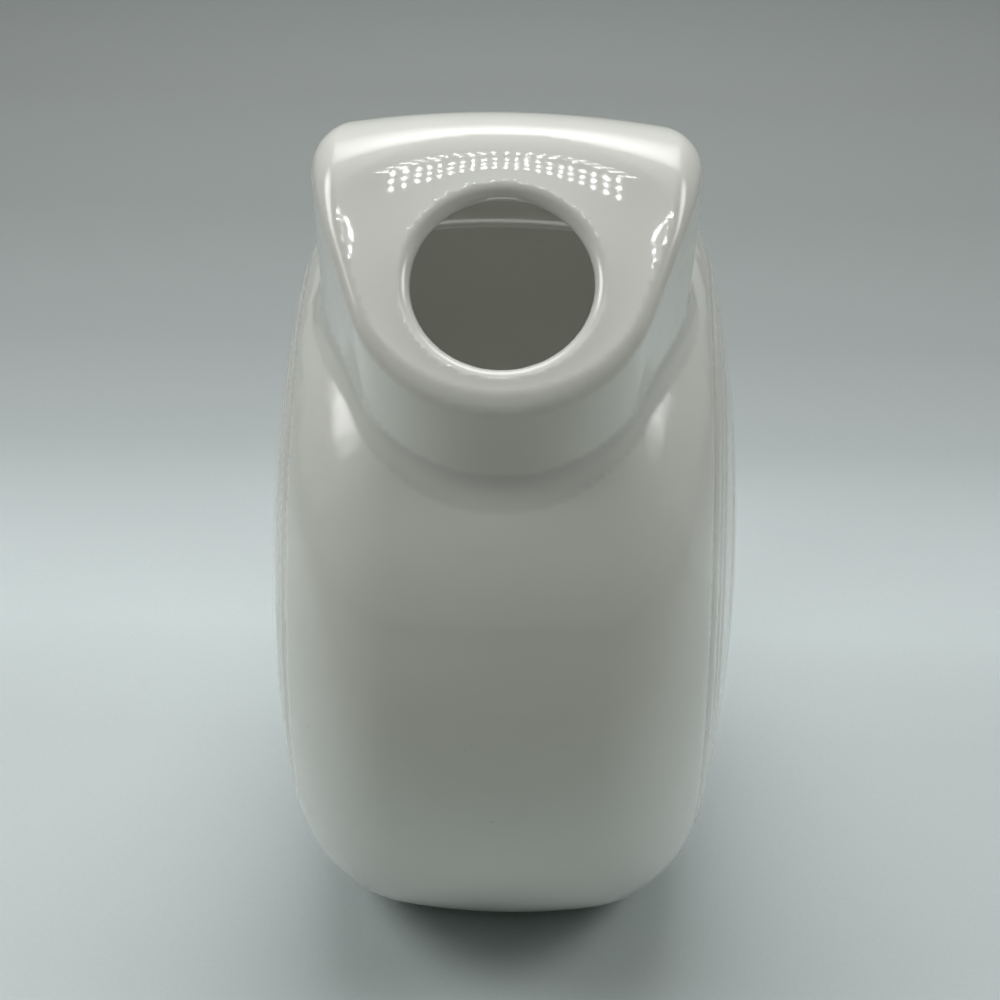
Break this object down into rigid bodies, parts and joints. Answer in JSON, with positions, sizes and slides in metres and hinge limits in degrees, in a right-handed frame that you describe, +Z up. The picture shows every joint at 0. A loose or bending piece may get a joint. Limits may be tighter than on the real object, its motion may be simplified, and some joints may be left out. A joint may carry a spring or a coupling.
{
  "type": "disc pitcher",
  "caption": "Glazed ceramic pitcher: an upright hollow disc with a tilted shield-shaped spout deck, a round mouth and a strap handle",
  "frame": {"origin": "centre of the flat foot, on the surface that the pitcher stands on", "axes": "+Z up, -Y towards the spout, +Y towards the handle, X across the thickness of the disc"},
  "size_m": [0.102, 0.213, 0.182],
  "materials": {
    "glaze": "glossy white glaze",
    "bare_clay": "dry, wiped clean of glaze"
  },
  "bodies": {
    "root": {"disc_body": "glaze", "spout_collar": "glaze", "handle": "glaze", "foot_ring": "bare_clay"}
  },
  "joints": []
}
